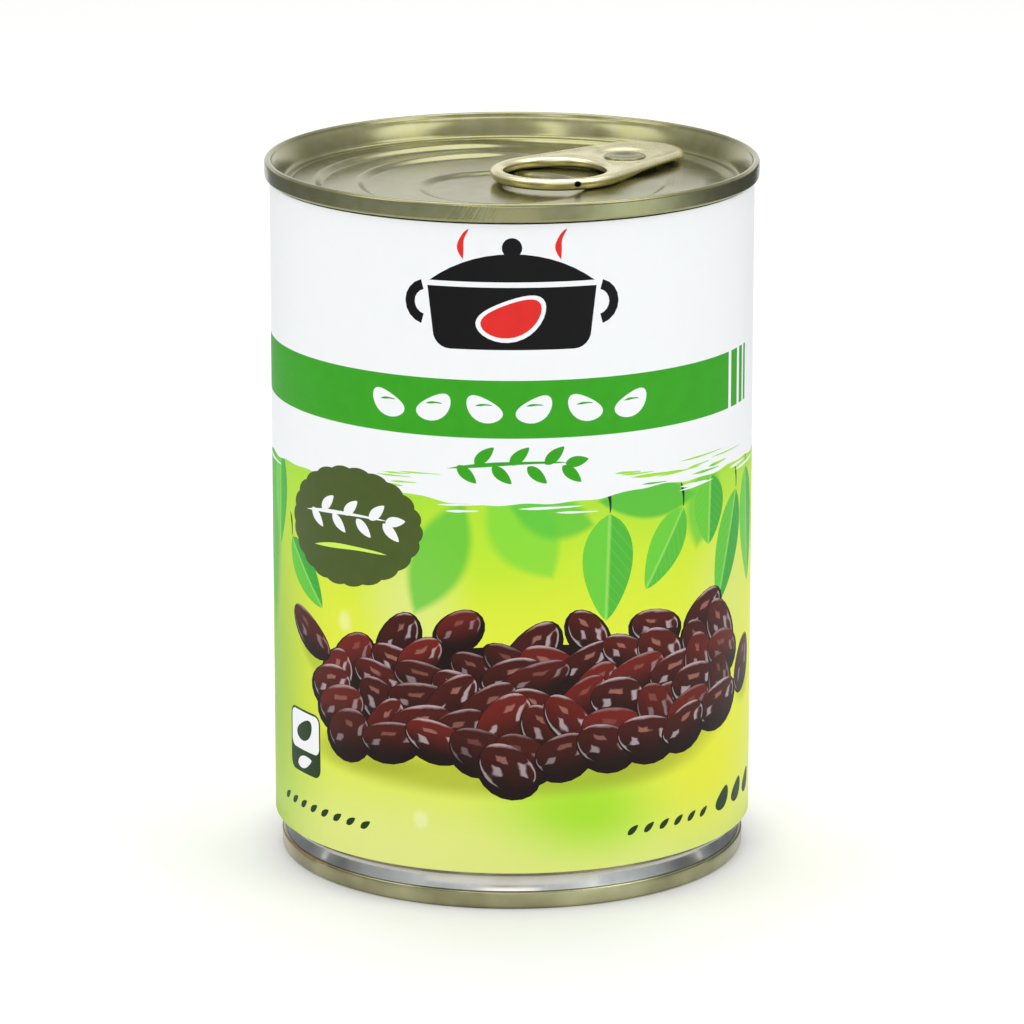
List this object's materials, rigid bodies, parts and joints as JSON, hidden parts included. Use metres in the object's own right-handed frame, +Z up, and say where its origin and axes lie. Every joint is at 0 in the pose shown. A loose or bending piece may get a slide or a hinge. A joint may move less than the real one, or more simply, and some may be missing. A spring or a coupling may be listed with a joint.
{
  "type": "canned beans",
  "caption": "Shut tin can of beans with a wrapped paper label, a ring-pull lid and a narrowed base seam.",
  "frame": {"origin": "centre of the standing ring, on the surface that the can stands on", "axes": "+Z up along the can's axis; -Y towards the front of the label; +X to the right seen from the front"},
  "size_m": [0.075, 0.075, 0.108],
  "materials": {
    "tinplate": "bare tinplate, satin",
    "label_paper": "coated printed paper, half gloss",
    "lacquered_end": "khaki-gold lacquer on tinplate, satin",
    "ring_pull": "pale gold lacquer on steel, satin"
  },
  "bodies": {
    "root": {"body": "tinplate", "label": "label_paper", "base": "lacquered_end", "lid": "lacquered_end", "tab": "ring_pull"}
  },
  "joints": []
}
